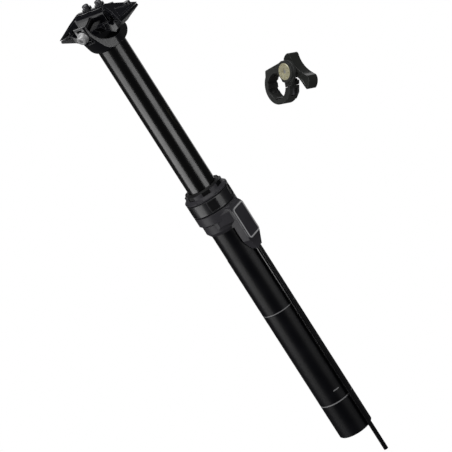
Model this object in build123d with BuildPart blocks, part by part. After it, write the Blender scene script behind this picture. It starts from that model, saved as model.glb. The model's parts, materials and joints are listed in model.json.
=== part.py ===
from build123d import *
from math import atan2, cos, radians, sin
import os

# A dropper seatpost in millimetres: an outer post that the frame clamps, a mast that slides in it
# and carries the saddle clamp, the release gear inside, and the thumb remote from the handlebar.
# The origin is on the post's axis at the highest place that the frame's seat tube can reach.
# +Z is up the post, +Y is the front of the bicycle and +X is the side with the cable box.

os.makedirs("parts", exist_ok=True)

# Clearances, and one overrun for every cut
overrun = 5.0
seat_gap = 0.02
running_gap = 0.05
face_gap = 0.3

# Half a turn in degrees
half_turn = 180.0

# Outer post
post_diameter = 31.6
post_bore = 27.6
insert_step = 0.2
frame_gap = 2.0
box_drop = 25.0
tube_seat_length = 20.0
bottom_chamfer = 0.6

# Mast
mast_diameter = 26.0
mast_bore = 22.0
travel = 125.0
parked_length = 19.0
mast_engagement = 90.0

# Guide keys and the grooves that they run in
key_radius = 1.6
key_circle = 13.2
key_length = 10.0
key_height = 20.0
key_groove_radius = 1.7
key_count = 3
key_first_angle = 60.0
lower_bush_radius = 13.75
lower_bush_seat = 12.6
lower_bush_length = 12.0
lower_bush_height = 2.0
lower_bush_split = 3.2

# Collar body
collar_low_radius = 18.3
collar_foot_radius = 16.4
collar_groove_radius = 17.5
collar_low_height = 10.8
collar_groove_height = 0.9
collar_round = 3.0
collar_height = 20.4
collar_edge = 0.5
neck_wall = 1.4
neck_height = 31.0
bush_seat_radius = 14.2

# Rings above the collar
lock_ring_wall = 3.05
lock_ring_proud = 0.1
lock_ring_low = 20.7
lock_ring_high = 33.0
lock_ring_lip = 1.9
lock_ring_bevel = 0.8
lock_notch_count = 5
lock_notch_width = 9.0
lock_notch_depth = 1.2
lock_notch_edge = 1.5
ring_first_angle = -45.0
castle_low = 33.1
castle_bore = 16.05
castle_wall = 1.65
castle_skirt = 2.5
castle_skirt_high = 34.5
castle_shoulder = 36.7
castle_high = 40.2
castle_notch_count = 7
castle_notch_width = 7.6
castle_notch_depth = 1.25
castle_tab_width = 7.0
castle_tab_depth = 1.1
castle_step = 0.4
wiper_low = 34.3
wiper_flange_high = 39.9
wiper_top = 41.0
wiper_lip_width = 1.3
foam_low = 31.3
foam_high = 34.2
bush_low = 20.3
bush_high = 28.8
snap_ring_low = 29.0
snap_ring_high = 30.0
snap_ring_inner = 13.4
snap_ring_outer = 14.9
snap_ring_split = 5.0

# Cable box on the collar
box_y = -1.6
box_half_width = 8.5
box_back_x = 15.95
box_proud = 3.6
box_top = 18.6
box_top_bevel = 2.4
box_face_low = -14.6
box_foot_half_width = 3.4
box_foot_set_in = 1.3
shoulder_x = 9.0
shoulder_y = 17.3
shoulder_low = 3.2
shoulder_high = 19.4
shoulder_bevel = 3.4
shoulder_share = 0.5
cavity_x = 16.8
cavity_half_width = 5.6
cavity_low = -13.0
cavity_high = 12.5
cover_thickness = 1.6
cover_height = 31.2
cover_width = 16.8
cover_corner = 3.0
cover_middle = 1.15
cover_edge = 0.5
cover_lip = 1.0
cover_lip_wall = 1.2

# Shuttle, wires and push rod in the cable box
cable_x = 18.9
push_rod_x = 14.1
push_rod_radius = 0.7
push_groove_radius = 0.95
shuttle_half_width = 2.8
shuttle_low = -3.0
shuttle_high = 7.5
tongue_low = 4.0
tongue_high = 7.0
tongue_half_width = 1.2
tongue_x = 13.35
window_half_width = 1.6
window_low = 0.6
window_high = 7.5
nipple_radius = 1.6
nipple_height = 5.0
nipple_low = 0.0
wire_radius = 0.6
wire_bore = 0.9
wire_in_housing = 6.0
spring_outer = 1.9
spring_inner = 0.95

# Cable housing, with the ferrule that it comes out of
housing_diameter = 4.0
housing_length = 214.6
ferrule_radius = 2.2
ferrule_flange = 2.5
ferrule_flange_height = 1.0
ferrule_depth = 7.0

# Cartridge and rod
cartridge_radius = 9.0
cartridge_bore = 7.5
foot_ring_height = 6.0
foot_ring_bore = 6.0
gland_height = 10.0
bumper_height = 3.0
bumper_radius = 7.2
piston_height = 8.7
piston_radius = 7.4
piston_groove_radius = 6.2
piston_groove_low = 2.6
piston_ring_height = 3.0
rod_radius = 4.0
rod_bore = 1.6
rod_tip = 2.0
rod_flange_radius = 6.5
rod_flange_height = 1.5
floating_piston_height = 12.0
floating_piston_travel_gap = 27.0
cap_height = 12.0
spigot_length = 13.0

# Foot of the outer post: plug, rocker, valve pin and cover
foot_stop_gap = 1.0
plug_height = 6.0
foot_cover_height = 1.2
foot_drain_radius = 3.0
rocker_x = 5.5
rocker_drop = 3.8
rocker_thickness = 2.0
rocker_half_width = 2.0
rocker_inner_x = -1.3
rocker_outer_x = 14.2
rocker_tip_half_width = 1.0
rocker_pocket_x = 14.7
rocker_pocket_half_width = 1.4
rocker_pocket_high = 4.0
rocker_pin_radius = 1.25
rocker_boss_radius = 2.0
lug_gap = 0.2
lug_thickness = 2.0
lug_drop = 5.9
lug_half_length = 2.6
push_notch_half_width = 1.6
push_notch_x = 12.6
valve_pin_radius = 1.2
valve_pin_tip = 0.6
valve_pin_top_gap = 7.0
foot_depth = 11.3

# Forged head. Heights are above the head's base, and the tilt axis lies along X.
head_half_width = 13.5
horn_radius = 8.0
horn_y = 17.5
rear_flare = [(13.05, 0.0), (16.6, 3.2), (18.3, 6.5), (19.5, 9.8), (21.8, 16.2), (24.0, 24.0), (24.4, 40.0)]
front_flare = [(13.05, 0.0), (15.6, 0.5), (19.3, 2.4), (21.2, 4.3), (21.8, 6.4), (21.3, 8.8), (20.2, 11.6),
               (20.8, 15.5), (22.6, 20.5), (23.6, 26.0), (24.0, 40.0)]
saddle_arc = 21.3
washer_arc = 23.6
rear_bolt_angle = 16.0
front_bolt_angle = 22.0
rear_horn_rise = 1.6
front_horn_rise = -0.8
slot_half_width = 2.8
rear_slot = (-12.8, 0.0)
front_slot = (-14.8, -2.2)
channel_half_width = 5.3
rear_channel_drop = 15.0
front_channel_drop = 18.6

# Saddle clamp. Heights with rise or drop in their names are from the rails' centre.
rail_radius = 3.5
rail_x = 22.0
rail_height = 22.0
tilt_axis_rise = 6.4
clamp_split_gap = 0.5
clamp_y = 1.5
hub_radius = 4.7
hub_half_length = 16.0
barrel_radius = 3.4
barrel_hole_radius = 2.3
barrel_hole_depth = 4.0
keel_half_width = 5.0
keel_clearance = 0.15
cradle_radius = 14.3
cradle_step = 1.2
cradle_step_radius = 10.4
ridge_x = 16.0
ridge_rise = 12.7
ridge_half_width = 2.2
ridge_edge = 0.7
knee_x = 24.5
knee_rise = 8.2
wing_x = 36.0
wing_rise = 0.8
wing_drop = 2.6
wing_root_x = 21.0
wing_root_drop = 9.8
wing_half_width = 14.0
body_x = 13.0
body_drop = 6.4
waist_x = 18.5
waist_half_width = 4.7
root_half_width = 9.9
pocket_depth = 1.0
pocket_rim = 2.0
hollow_wall = 1.5
hollow_half_height = 0.7
hollow_end = 4.6
lump_x = 30.0
lump_y = 9.5
lump_radius = 3.2
lump_height = 1.1
rail_bolt_x = 7.5
rail_bolt_y = 5.8
rail_bolt_radius = 1.8
rail_bolt_depth = 5.0
rail_boss_radius = 4.3
rail_boss_height = 0.9
rail_bolt_head_radius = 2.9
rail_bolt_head_height = 3.2
rail_bolt_dome = 0.8
tilt_bolt_radius = 2.5
tilt_bolt_start = 2.2
tilt_bolt_head_radius = 4.3
tilt_bolt_head_height = 4.2
tilt_bolt_dome = 0.7
tilt_washer_radius = 5.0
tilt_washer_height = 1.2
socket_size = 4.0
rail_socket_size = 2.8
socket_depth = 2.2

# Handlebar remote. Its own frame has X to the right, Y up and Z along the handlebar.
remote_place = (53.8, 85.6, 99.8)
remote_axis_share = (-0.153, -0.886, 0.437)
remote_up_share = (0.380, 0.355, 0.854)
bar_radius = 11.1
band_radius = 15.6
remote_width = 11.0
pivot_x = 11.8
pivot_y = 14.9
lobe_radius = 9.6
corner_place = (-14.4, 9.6)
corner_radius = 1.5
web_recess = 0.8
boss_radius = 9.3
boss_height = 2.0
cheek_thickness = 3.3
hub_pocket_radius = 7.2
lever_hub_radius = 6.6
lever_width = 10.0
lever_front = 3.7
lever_bore = 3.25
lever_bush_inner = 2.65
axle_radius = 2.6
axle_cap_depth = 1.2
cap_disc_radius = 7.3
cap_disc_height = 2.3
cap_disc_gap = 0.1
cap_dimple_count = 9
cap_dimple_circle = 5.7
cap_dimple_radius = 0.75
cap_dimple_depth = 0.6
cap_socket_size = 2.2
cap_socket_rim = 3.0
cap_edge = 0.5
nut_size = 4.2
nut_height = 2.2
nut_gap = 0.3
return_spring_outer = 5.2
return_spring_inner = 3.6
return_spring_depth = 4.0
split_left = (-9.92, -8.93)
split_right = (13.75, 2.0)
split_gap = 0.6
hinge_place = (-9.92, -8.93)
knuckle_radius = 2.25
hinge_pin_radius = 0.9
knuckle_share = 0.36
ear_x = 16.4
ear_edge_low = -3.5
ear_foot = (13.2, -9.6)
ear_inner_x = 8.0
ear_high = 6.9
clamp_bolt_x = 14.2
clamp_bolt_radius = 1.4
clamp_bolt_top = 6.3
clamp_bolt_seat = -2.4
clamp_bolt_head_radius = 2.3
clamp_bolt_head_height = 2.8
bolt_pocket_low = -6.5
bolt_pocket_high = 0.7
bolt_pocket_half_width = 2.8
bolt_pocket_x = 11.9
grip_groove_width = 2.4
grip_groove_depth = 1.0
body_groove_angles = (175.0, 207.0)
band_groove_angle = 270.0
screw_hole_angle = 142.0
screw_hole_radius = 1.0
screw_hole_depth = 2.6
lever_top = [(-7.5, 8.5), (-5.0, 13.0), (-2.5, 14.6), (0.5, 12.8)]
lever_thumb = [(0.5, 12.8), (5.0, 7.0), (13.0, 2.2), (22.5, -0.3)]
lever_tip = [(22.5, -0.3), (24.2, -2.2), (24.0, -9.5), (22.3, -12.0)]
lever_under = [(22.3, -12.0), (16.5, -7.6), (9.8, -3.8), (4.5, -5.0)]
lever_panel = [(9.0, 1.6), (15.0, -1.2), (20.6, -3.4), (20.8, -8.6), (15.4, -5.0), (9.4, -1.8)]
lever_panel_depth = 0.6
anchor_angle = 205.0
anchor_circle = 4.9
anchor_radius = 0.9
anchor_depth = 4.0

# Heights that follow
collar_z = frame_gap + box_drop
tube_top = collar_z + tube_seat_length
post_radius = post_diameter / 2
neck_post_radius = post_radius - insert_step
neck_radius = neck_post_radius + neck_wall
lock_ring_radius = neck_radius + running_gap + lock_ring_wall
collar_radius = lock_ring_radius - lock_ring_proud
box_face_x = collar_radius + box_proud
box_foot_x = box_face_x - box_foot_set_in
shuttle_front_x = box_face_x - cover_lip - running_gap * 2
bore_radius = post_bore / 2
mast_radius = mast_diameter / 2
mast_bore_radius = mast_bore / 2
head_z = collar_z + wiper_top + parked_length + travel
mast_bottom = tube_top - mast_engagement
mast_parked = mast_bottom - travel
rod_flange_top = mast_parked - foot_stop_gap
plug_top = rod_flange_top - rod_flange_height
plug_low = plug_top - plug_height
rocker_z = plug_low - rocker_drop
post_bottom = plug_low - foot_depth
housing_radius = housing_diameter / 2
ferrule_low = collar_z - box_drop - ferrule_flange_height
castle_top_radius = castle_bore + castle_wall
castle_radius = castle_top_radius + castle_skirt
rail_z = head_z + rail_height
tilt_z = rail_z + tilt_axis_rise


def ring(outer, inner, low, high):
    """A plain round ring about the post's axis."""
    with BuildPart() as piece:
        with BuildSketch(Plane.XY.offset(low)):
            Circle(outer)
            Circle(inner, mode=Mode.SUBTRACT)
        extrude(amount=high - low)
    return piece


def along_x(x, y, z):
    """A plane square to X, with its own X along the post's Y and its Y up the post."""
    return Plane(origin=(x, y, z), x_dir=(0, 1, 0), z_dir=(1, 0, 0))


# Lower tube: bored, with three key grooves, a groove for the push rod and a window for the tongue
with BuildPart() as lower_tube:
    with BuildSketch(Plane.XY.offset(post_bottom)):
        Circle(post_radius)
        Circle(bore_radius, mode=Mode.SUBTRACT)
    extrude(amount=-post_bottom)
    with BuildSketch(Plane.XY):
        Circle(neck_post_radius)
        Circle(bore_radius, mode=Mode.SUBTRACT)
    extrude(amount=tube_top)
    chamfer(lower_tube.faces().sort_by(Axis.Z)[0].edges().sort_by(SortBy.LENGTH)[-1], bottom_chamfer)
    key_groove_low = mast_parked + key_height - overrun
    with BuildSketch(Plane.XY.offset(key_groove_low)):
        with PolarLocations(key_circle, key_count, start_angle=key_first_angle):
            Circle(key_groove_radius)
    extrude(amount=tube_top - key_groove_low + overrun, mode=Mode.SUBTRACT)
    with BuildSketch(Plane.XY.offset(post_bottom - overrun)):
        with Locations((push_rod_x, 0)):
            Circle(push_groove_radius)
    extrude(amount=tube_top - post_bottom + overrun + overrun, mode=Mode.SUBTRACT)
    with BuildSketch(Plane.XY.offset(collar_z + window_low)):
        with Locations((mast_radius, 0)):
            Rectangle(post_radius, window_half_width * 2, align=(Align.MIN, Align.CENTER))
    extrude(amount=window_high - window_low, mode=Mode.SUBTRACT)
    with BuildSketch(Plane.XY.offset(post_bottom - overrun)):
        with Locations((rocker_x, 0)):
            Rectangle(rocker_pocket_x - rocker_x, rocker_pocket_half_width * 2, align=(Align.MIN, Align.CENTER))
    extrude(amount=rocker_z + rocker_pocket_high - post_bottom + overrun, mode=Mode.SUBTRACT)
lower_tube.part.label = "lower_tube"
export_step(lower_tube.part, "parts/lower_tube.step")

# Collar body: a turned collar with the cable box and its two slanted shoulders on the +X side
box_floor = collar_z - box_drop
with BuildPart() as collar_body:
    with BuildSketch(Plane.XY.offset(collar_z + shoulder_low)):
        with BuildLine():
            Polyline(
                (0, -shoulder_y),
                (shoulder_x, -shoulder_y),
                (box_face_x - box_top_bevel, box_y - box_half_width),
                (box_face_x - box_top_bevel, box_y + box_half_width),
                (shoulder_x, shoulder_y),
                (0, shoulder_y),
                close=True,
            )
        make_face()
    extrude(amount=shoulder_high - shoulder_low)
    slants = collar_body.faces().filter_by(lambda f: shoulder_x < f.center().X < box_face_x - box_top_bevel)
    slant_edges = slants.edges().filter_by(lambda e: abs(e.tangent_at(0).Z) < shoulder_share)
    slant_edges = slant_edges.filter_by(lambda e: e.center().X < box_face_x - box_top_bevel - running_gap)
    chamfer(slant_edges.filter_by(lambda e: e.center().X > shoulder_x), shoulder_bevel)
    with BuildSketch(Plane.XZ):
        with BuildLine():
            Polyline(
                (0, collar_z),
                (collar_foot_radius, collar_z),
                (collar_low_radius, collar_z + collar_round),
                (collar_low_radius, collar_z + collar_low_height),
                (collar_groove_radius, collar_z + collar_low_height),
                (collar_groove_radius, collar_z + collar_low_height + collar_groove_height),
                (collar_radius - collar_edge, collar_z + collar_low_height + collar_groove_height),
                (collar_radius, collar_z + collar_low_height + collar_groove_height + collar_edge),
                (collar_radius, collar_z + collar_height - collar_edge),
                (collar_radius - collar_edge, collar_z + collar_height),
                (neck_radius, collar_z + collar_height),
                (neck_radius, collar_z + neck_height),
                (0, collar_z + neck_height),
                close=True,
            )
        make_face()
    revolve(axis=Axis.Z)
    # The box: a flat face with a slanted top and a foot that narrows round the cable
    with BuildSketch(Plane.XZ.offset(-box_y - box_half_width)):
        with BuildLine():
            Polyline(
                (shoulder_x, collar_z + box_top),
                (box_face_x - box_top_bevel, collar_z + box_top),
                (box_face_x, collar_z + box_top - box_top_bevel),
                (box_face_x, collar_z + box_face_low),
                (box_foot_x, box_floor),
                (box_back_x, box_floor),
                (box_back_x, collar_z + collar_edge),
                (shoulder_x, collar_z + collar_edge),
                close=True,
            )
        make_face()
    extrude(amount=box_half_width * 2)
    for side in (-1, 1):
        with BuildSketch(along_x(box_back_x - overrun, 0, 0)):
            with BuildLine():
                Polyline(
                    (box_y + side * box_foot_half_width, box_floor),
                    (box_y + side * box_half_width, collar_z + box_face_low),
                    (box_y + side * (box_half_width + overrun), collar_z + box_face_low),
                    (box_y + side * (box_half_width + overrun), box_floor - overrun),
                    (box_y + side * box_foot_half_width, box_floor - overrun),
                    close=True,
                )
            make_face()
        extrude(amount=box_face_x, mode=Mode.SUBTRACT)
    # Bores for the lower tube, the mast and the upper bush, with the snap ring's groove
    for radius, low, high in (
        (neck_post_radius + seat_gap, box_floor, tube_top),
        (bush_seat_radius, tube_top, collar_z + neck_height + overrun),
        (snap_ring_outer + running_gap * 2, collar_z + snap_ring_low - seat_gap,
         collar_z + snap_ring_high + seat_gap),
    ):
        with BuildSketch(Plane.XY.offset(low)):
            Circle(radius)
        extrude(amount=high - low, mode=Mode.SUBTRACT)
    # Cavity, window to the push rod, wire channel and the ferrule's seat
    with BuildSketch(Plane.XY.offset(collar_z + cavity_low)):
        with Locations((cavity_x, box_y)):
            Rectangle(box_face_x, cavity_half_width * 2, align=(Align.MIN, Align.CENTER))
    extrude(amount=cavity_high - cavity_low, mode=Mode.SUBTRACT)
    with BuildSketch(Plane.XY.offset(collar_z + window_low)):
        with Locations((mast_radius, 0)):
            Rectangle(cavity_x - mast_radius + overrun, window_half_width * 2, align=(Align.MIN, Align.CENTER))
    extrude(amount=window_high - window_low, mode=Mode.SUBTRACT)
    with BuildSketch(Plane.XY.offset(box_floor - overrun)):
        with Locations((cable_x, box_y)):
            Circle(wire_bore)
    extrude(amount=collar_z + cavity_low - box_floor + overrun + overrun, mode=Mode.SUBTRACT)
    with BuildSketch(Plane.XY.offset(box_floor - overrun)):
        with Locations((cable_x, box_y)):
            Circle(ferrule_radius + seat_gap)
    extrude(amount=ferrule_depth + overrun, mode=Mode.SUBTRACT)
collar_body.part.label = "collar_body"
export_step(collar_body.part, "parts/collar_body.step")

# Lock ring: the band that screws on the neck, with panels between shallow notches
with BuildPart() as lock_ring:
    with BuildSketch(Plane.XY.offset(collar_z + lock_ring_low)):
        Circle(lock_ring_radius)
        Circle(neck_radius + running_gap, mode=Mode.SUBTRACT)
    extrude(amount=lock_ring_high - lock_ring_low - lock_ring_lip)
    with BuildSketch(Plane.XY.offset(collar_z + lock_ring_high - lock_ring_lip)):
        Circle(lock_ring_radius)
        Circle(castle_bore, mode=Mode.SUBTRACT)
    extrude(amount=lock_ring_lip)
    rims = lock_ring.edges().filter_by(GeomType.CIRCLE).sort_by(SortBy.RADIUS)
    chamfer(rims.filter_by(lambda e: e.radius > lock_ring_radius - running_gap), lock_ring_bevel)
    notch_low = lock_ring_low + lock_notch_edge
    with BuildSketch(Plane.XY.offset(collar_z + notch_low)):
        with PolarLocations(lock_ring_radius + overrun - lock_notch_depth, lock_notch_count,
                            start_angle=ring_first_angle):
            Rectangle(overrun * 2, lock_notch_width)
    extrude(amount=lock_ring_high - lock_notch_edge - notch_low, mode=Mode.SUBTRACT)
lock_ring.part.label = "lock_ring"
export_step(lock_ring.part, "parts/lock_ring.step")

# Castle ring: holds the wiper, with spanner notches in its top and tabs on its flared skirt
with BuildPart() as castle_ring:
    with BuildSketch(Plane.XZ):
        with BuildLine():
            Polyline(
                (castle_bore, collar_z + castle_low),
                (castle_radius - castle_step, collar_z + castle_low),
                (castle_radius, collar_z + castle_low + castle_step),
                (castle_radius, collar_z + castle_skirt_high),
                (castle_top_radius, collar_z + castle_shoulder),
                (castle_top_radius, collar_z + castle_high - castle_step),
                (castle_top_radius - castle_step, collar_z + castle_high),
                (castle_bore, collar_z + castle_high),
                close=True,
            )
        make_face()
    revolve(axis=Axis.Z)
    with BuildSketch(Plane.XY.offset(collar_z + castle_shoulder)):
        with PolarLocations(castle_top_radius + overrun - castle_notch_depth, castle_notch_count,
                            start_angle=ring_first_angle):
            Rectangle(overrun * 2, castle_notch_width)
    extrude(amount=castle_high, mode=Mode.SUBTRACT)
    half_pitch = half_turn / castle_notch_count
    with BuildSketch(Plane.XY.offset(collar_z + castle_low + castle_step * 2)):
        with PolarLocations(castle_radius + overrun - castle_tab_depth, castle_notch_count,
                            start_angle=ring_first_angle + half_pitch):
            Rectangle(overrun * 2, castle_tab_width)
    extrude(amount=castle_shoulder - castle_low - castle_step * 2, mode=Mode.SUBTRACT)
castle_ring.part.label = "castle_ring"
export_step(castle_ring.part, "parts/castle_ring.step")

# Wiper seal: a rubber ring with a thin lip round the mast
with BuildPart() as wiper_seal:
    with BuildSketch(Plane.XZ):
        with BuildLine():
            Polyline(
                (mast_radius + running_gap, collar_z + wiper_low),
                (castle_bore - seat_gap, collar_z + wiper_low),
                (castle_bore - seat_gap, collar_z + wiper_flange_high),
                (mast_radius + wiper_lip_width * 2, collar_z + wiper_flange_high),
                (mast_radius + wiper_lip_width / 2, collar_z + wiper_top),
                (mast_radius + running_gap, collar_z + wiper_top),
                close=True,
            )
        make_face()
    revolve(axis=Axis.Z)
wiper_seal.part.label = "wiper_seal"
export_step(wiper_seal.part, "parts/wiper_seal.step")

# Foam ring under the wiper
foam_ring = ring(castle_bore - seat_gap, mast_radius + face_gap, collar_z + foam_low, collar_z + foam_high)
foam_ring.part.label = "foam_ring"
export_step(foam_ring.part, "parts/foam_ring.step")

# Upper bush that the mast slides in
upper_bush = ring(bush_seat_radius - seat_gap, mast_radius + running_gap,
                  collar_z + bush_low, collar_z + bush_high)
upper_bush.part.label = "upper_bush"
export_step(upper_bush.part, "parts/upper_bush.step")

# Snap ring that keeps the upper bush down, split at the front
with BuildPart() as snap_ring:
    with BuildSketch(Plane.XY.offset(collar_z + snap_ring_low)):
        Circle(snap_ring_outer)
        Circle(snap_ring_inner, mode=Mode.SUBTRACT)
        with Locations((0, snap_ring_outer)):
            Rectangle(snap_ring_split, overrun * 2, mode=Mode.SUBTRACT)
    extrude(amount=snap_ring_high - snap_ring_low)
snap_ring.part.label = "snap_ring"
export_step(snap_ring.part, "parts/snap_ring.step")

# Cover of the cable box: a plain plate with a lip that plugs into the cavity
with BuildPart() as actuator_cover:
    with BuildSketch(along_x(box_face_x, box_y, collar_z + cover_middle)):
        RectangleRounded(cover_width, cover_height, cover_corner)
    extrude(amount=cover_thickness)
    chamfer(actuator_cover.faces().sort_by(Axis.X)[-1].edges(), cover_edge)
    lip_middle = collar_z + (cavity_low + cavity_high) / 2
    with BuildSketch(along_x(box_face_x, box_y, lip_middle)):
        Rectangle((cavity_half_width - seat_gap) * 2, cavity_high - cavity_low - seat_gap * 2)
        Rectangle((cavity_half_width - cover_lip_wall) * 2,
                  cavity_high - cavity_low - cover_lip_wall * 2, mode=Mode.SUBTRACT)
    extrude(amount=-cover_lip)
actuator_cover.part.label = "actuator_cover"
export_step(actuator_cover.part, "parts/actuator_cover.step")

# Shuttle: the wire pulls it down, and its tongue pushes the rod inside the tube
with BuildPart() as shuttle:
    with BuildSketch(Plane.XY.offset(collar_z + shuttle_low)):
        with Locations((cavity_x + face_gap, box_y)):
            Rectangle(shuttle_front_x - cavity_x - face_gap, shuttle_half_width * 2,
                      align=(Align.MIN, Align.CENTER))
    extrude(amount=shuttle_high - shuttle_low)
    with BuildSketch(Plane.XY.offset(collar_z + tongue_low)):
        with Locations((tongue_x, 0)):
            Rectangle(cavity_x - tongue_x + face_gap * 2, tongue_half_width * 2,
                      align=(Align.MIN, Align.CENTER))
    extrude(amount=tongue_high - tongue_low)
    with BuildSketch(Plane.XY.offset(collar_z + tongue_low - overrun)):
        with Locations((push_rod_x, 0)):
            Circle(push_rod_radius + seat_gap)
    extrude(amount=tongue_high - tongue_low + overrun * 2, mode=Mode.SUBTRACT)
    with BuildSketch(Plane.XY.offset(collar_z + shuttle_low - overrun)):
        with Locations((cable_x, box_y)):
            Circle(wire_radius + seat_gap)
    extrude(amount=shuttle_high - shuttle_low + overrun * 2, mode=Mode.SUBTRACT)
    with BuildSketch(Plane.XY.offset(collar_z + nipple_low)):
        with Locations((cable_x, box_y)):
            Circle(nipple_radius + seat_gap)
    extrude(amount=shuttle_high + overrun, mode=Mode.SUBTRACT)
shuttle.part.label = "shuttle"
export_step(shuttle.part, "parts/shuttle.step")

# Nipple on the end of the pull wire
with BuildPart() as wire_nipple:
    with BuildSketch(Plane.XY.offset(collar_z + nipple_low)):
        with Locations((cable_x, box_y)):
            Circle(nipple_radius)
            Circle(wire_radius + seat_gap, mode=Mode.SUBTRACT)
    extrude(amount=nipple_height)
wire_nipple.part.label = "wire_nipple"
export_step(wire_nipple.part, "parts/wire_nipple.step")

# Pull wire, from the nipple down into the housing
wire_low = ferrule_low - wire_in_housing
with BuildPart() as pull_wire:
    with BuildSketch(Plane.XY.offset(wire_low)):
        with Locations((cable_x, box_y)):
            Circle(wire_radius)
    extrude(amount=collar_z + nipple_low + nipple_height - wire_low)
pull_wire.part.label = "pull_wire"
export_step(pull_wire.part, "parts/pull_wire.step")

# Return spring of the shuttle, hidden in the box, as a plain sleeve
with BuildPart() as shuttle_spring:
    with BuildSketch(Plane.XY.offset(collar_z + cavity_low)):
        with Locations((cable_x, box_y)):
            Circle(spring_outer)
            Circle(spring_inner, mode=Mode.SUBTRACT)
    extrude(amount=shuttle_low - cavity_low)
shuttle_spring.part.label = "shuttle_spring"
export_step(shuttle_spring.part, "parts/shuttle_spring.step")

# Ferrule in the foot of the cable box
with BuildPart() as housing_ferrule:
    with BuildSketch(Plane.XY.offset(ferrule_low)):
        with Locations((cable_x, box_y)):
            Circle(ferrule_flange)
    extrude(amount=ferrule_flange_height)
    with BuildSketch(Plane.XY.offset(ferrule_low)):
        with Locations((cable_x, box_y)):
            Circle(ferrule_radius)
    extrude(amount=ferrule_flange_height + ferrule_depth)
    with BuildSketch(Plane.XY.offset(ferrule_low - overrun)):
        with Locations((cable_x, box_y)):
            Circle(wire_bore)
    extrude(amount=ferrule_flange_height + ferrule_depth + overrun * 2, mode=Mode.SUBTRACT)
housing_ferrule.part.label = "housing_ferrule"
export_step(housing_ferrule.part, "parts/housing_ferrule.step")

# Cable housing: one straight run beside the tube, cut square at its end
with BuildPart() as cable_housing:
    with BuildSketch(Plane.XY.offset(ferrule_low - housing_length)):
        with Locations((cable_x, box_y)):
            Circle(housing_radius)
            Circle(wire_bore, mode=Mode.SUBTRACT)
    extrude(amount=housing_length)
cable_housing.part.label = "cable_housing"
export_step(cable_housing.part, "parts/cable_housing.step")

# Foot plug, with two lugs for the rocker and a notch for the push rod
lug_y = rocker_half_width + lug_gap
with BuildPart() as foot_plug:
    with BuildSketch(Plane.XY.offset(plug_low)):
        Circle(bore_radius - seat_gap)
        Circle(rod_radius + seat_gap, mode=Mode.SUBTRACT)
        with Locations((push_notch_x, 0)):
            Rectangle(bore_radius, push_notch_half_width * 2, align=(Align.MIN, Align.CENTER),
                      mode=Mode.SUBTRACT)
    extrude(amount=plug_height)
    for side in (-1, 1):
        with BuildSketch(Plane.XZ.offset(-side * lug_y)):
            with Locations((rocker_x, plug_low)):
                Rectangle(lug_half_length * 2, lug_drop, align=(Align.CENTER, Align.MAX))
            with Locations((rocker_x, rocker_z)):
                Circle(rocker_pin_radius + seat_gap, mode=Mode.SUBTRACT)
        extrude(amount=-side * lug_thickness)
foot_plug.part.label = "foot_plug"
export_step(foot_plug.part, "parts/foot_plug.step")

# Rocker pin in the lugs
with BuildPart() as rocker_pin:
    with BuildSketch(Plane.XZ.offset(-lug_y - lug_thickness)):
        with Locations((rocker_x, rocker_z)):
            Circle(rocker_pin_radius)
    extrude(amount=(lug_y + lug_thickness) * 2)
rocker_pin.part.label = "rocker_pin"
export_step(rocker_pin.part, "parts/rocker_pin.step")

# Rocker: the push rod presses its outer end and its inner end lifts the valve pin
rocker_top = rocker_z + rocker_thickness / 2
with BuildPart() as valve_rocker:
    with BuildSketch(Plane.XY.offset(rocker_z - rocker_thickness / 2)):
        with Locations((rocker_inner_x, 0)):
            Rectangle(rocker_x - rocker_inner_x + rocker_boss_radius, rocker_half_width * 2,
                      align=(Align.MIN, Align.CENTER))
        with Locations((rocker_x, 0)):
            Rectangle(rocker_outer_x - rocker_x, rocker_tip_half_width * 2, align=(Align.MIN, Align.CENTER))
    extrude(amount=rocker_thickness)
    with BuildSketch(Plane.XZ.offset(-rocker_half_width)):
        with Locations((rocker_x, rocker_z)):
            Circle(rocker_boss_radius)
    extrude(amount=rocker_half_width * 2)
    with BuildSketch(Plane.XZ.offset(-rocker_half_width - overrun)):
        with Locations((rocker_x, rocker_z)):
            Circle(rocker_pin_radius + running_gap)
    extrude(amount=(rocker_half_width + overrun) * 2, mode=Mode.SUBTRACT)
valve_rocker.part.label = "valve_rocker"
export_step(valve_rocker.part, "parts/valve_rocker.step")

# Push rod, from the shuttle's tongue down to the rocker
with BuildPart() as push_rod:
    with BuildSketch(Plane.XY.offset(rocker_top + face_gap)):
        with Locations((push_rod_x, 0)):
            Circle(push_rod_radius)
    extrude(amount=collar_z + tongue_high - rocker_top - face_gap)
push_rod.part.label = "push_rod"
export_step(push_rod.part, "parts/push_rod.step")

# Foot cover, with a drain hole
foot_cover = ring(bore_radius - seat_gap, foot_drain_radius, post_bottom, post_bottom + foot_cover_height)
foot_cover.part.label = "foot_cover"
export_step(foot_cover.part, "parts/foot_cover.step")

# Piston rod, hollow for the valve pin, with a flange on the foot plug
gland_low = mast_bottom + foot_ring_height
gland_high = gland_low + gland_height
piston_low = gland_high + bumper_height + face_gap
piston_high = piston_low + piston_height
rod_top = piston_high + rod_tip
with BuildPart() as piston_rod:
    with BuildSketch(Plane.XY.offset(plug_low)):
        Circle(rod_radius)
    extrude(amount=rod_top - plug_low)
    with BuildSketch(Plane.XY.offset(plug_top)):
        Circle(rod_flange_radius)
    extrude(amount=rod_flange_height)
    with BuildSketch(Plane.XY.offset(plug_low - overrun)):
        Circle(rod_bore)
    extrude(amount=rod_top - plug_low + overrun * 2, mode=Mode.SUBTRACT)
piston_rod.part.label = "piston_rod"
export_step(piston_rod.part, "parts/piston_rod.step")

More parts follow.
